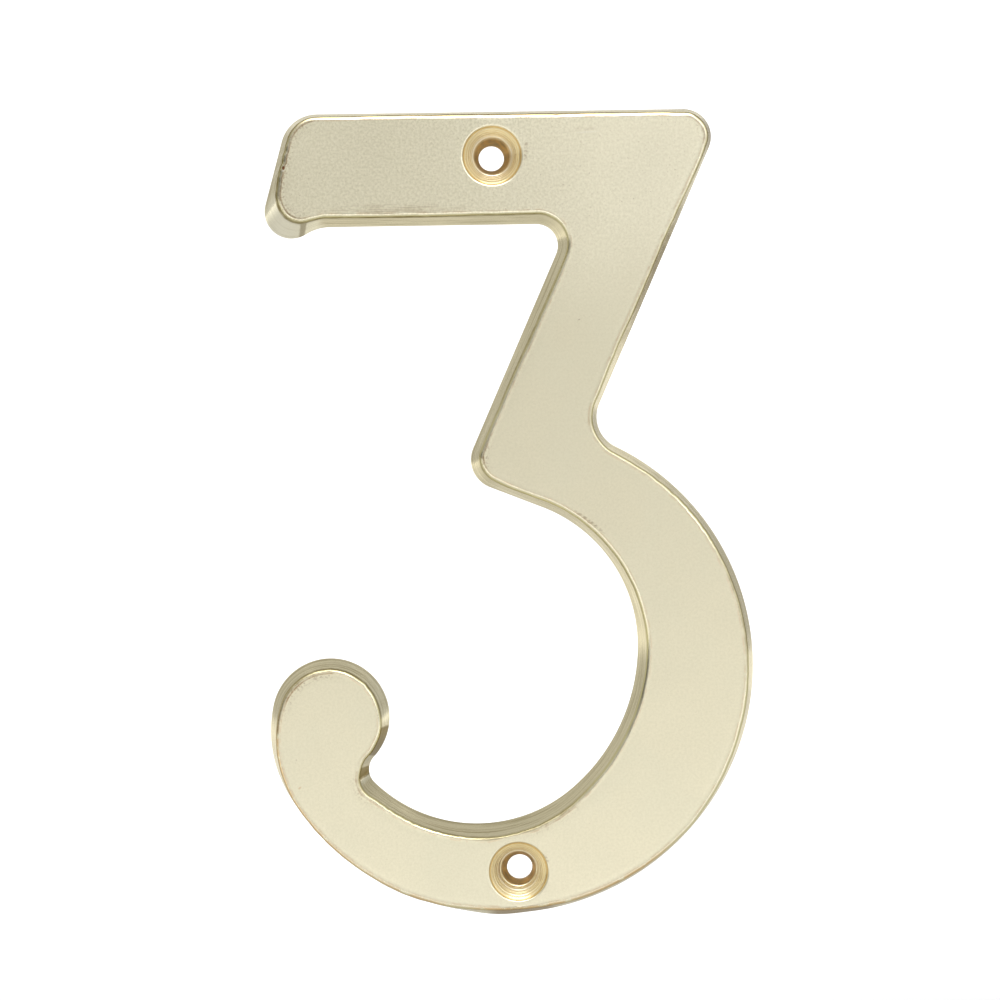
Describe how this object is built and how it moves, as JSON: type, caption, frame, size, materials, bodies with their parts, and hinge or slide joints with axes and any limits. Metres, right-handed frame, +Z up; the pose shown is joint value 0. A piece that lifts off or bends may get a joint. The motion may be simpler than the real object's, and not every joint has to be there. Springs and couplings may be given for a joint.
{
  "type": "door number",
  "caption": "Flat-topped brass numeral with a slanted stroke, round bowl and ball end, drafted walls and countersunk screw holes, screwed flat to a door or wall.",
  "frame": {"origin": "where the axis of the upper screw hole meets the flat back", "axes": "+Z up along the numeral's height, -Y out of the front face, +X to the right as the numeral is read"},
  "size_m": [0.0612, 0.0063, 0.1016],
  "materials": {
    "brass": "polished pale brass under clear lacquer, lightly worn"
  },
  "bodies": {
    "root": {"door_number": "brass"}
  },
  "joints": []
}
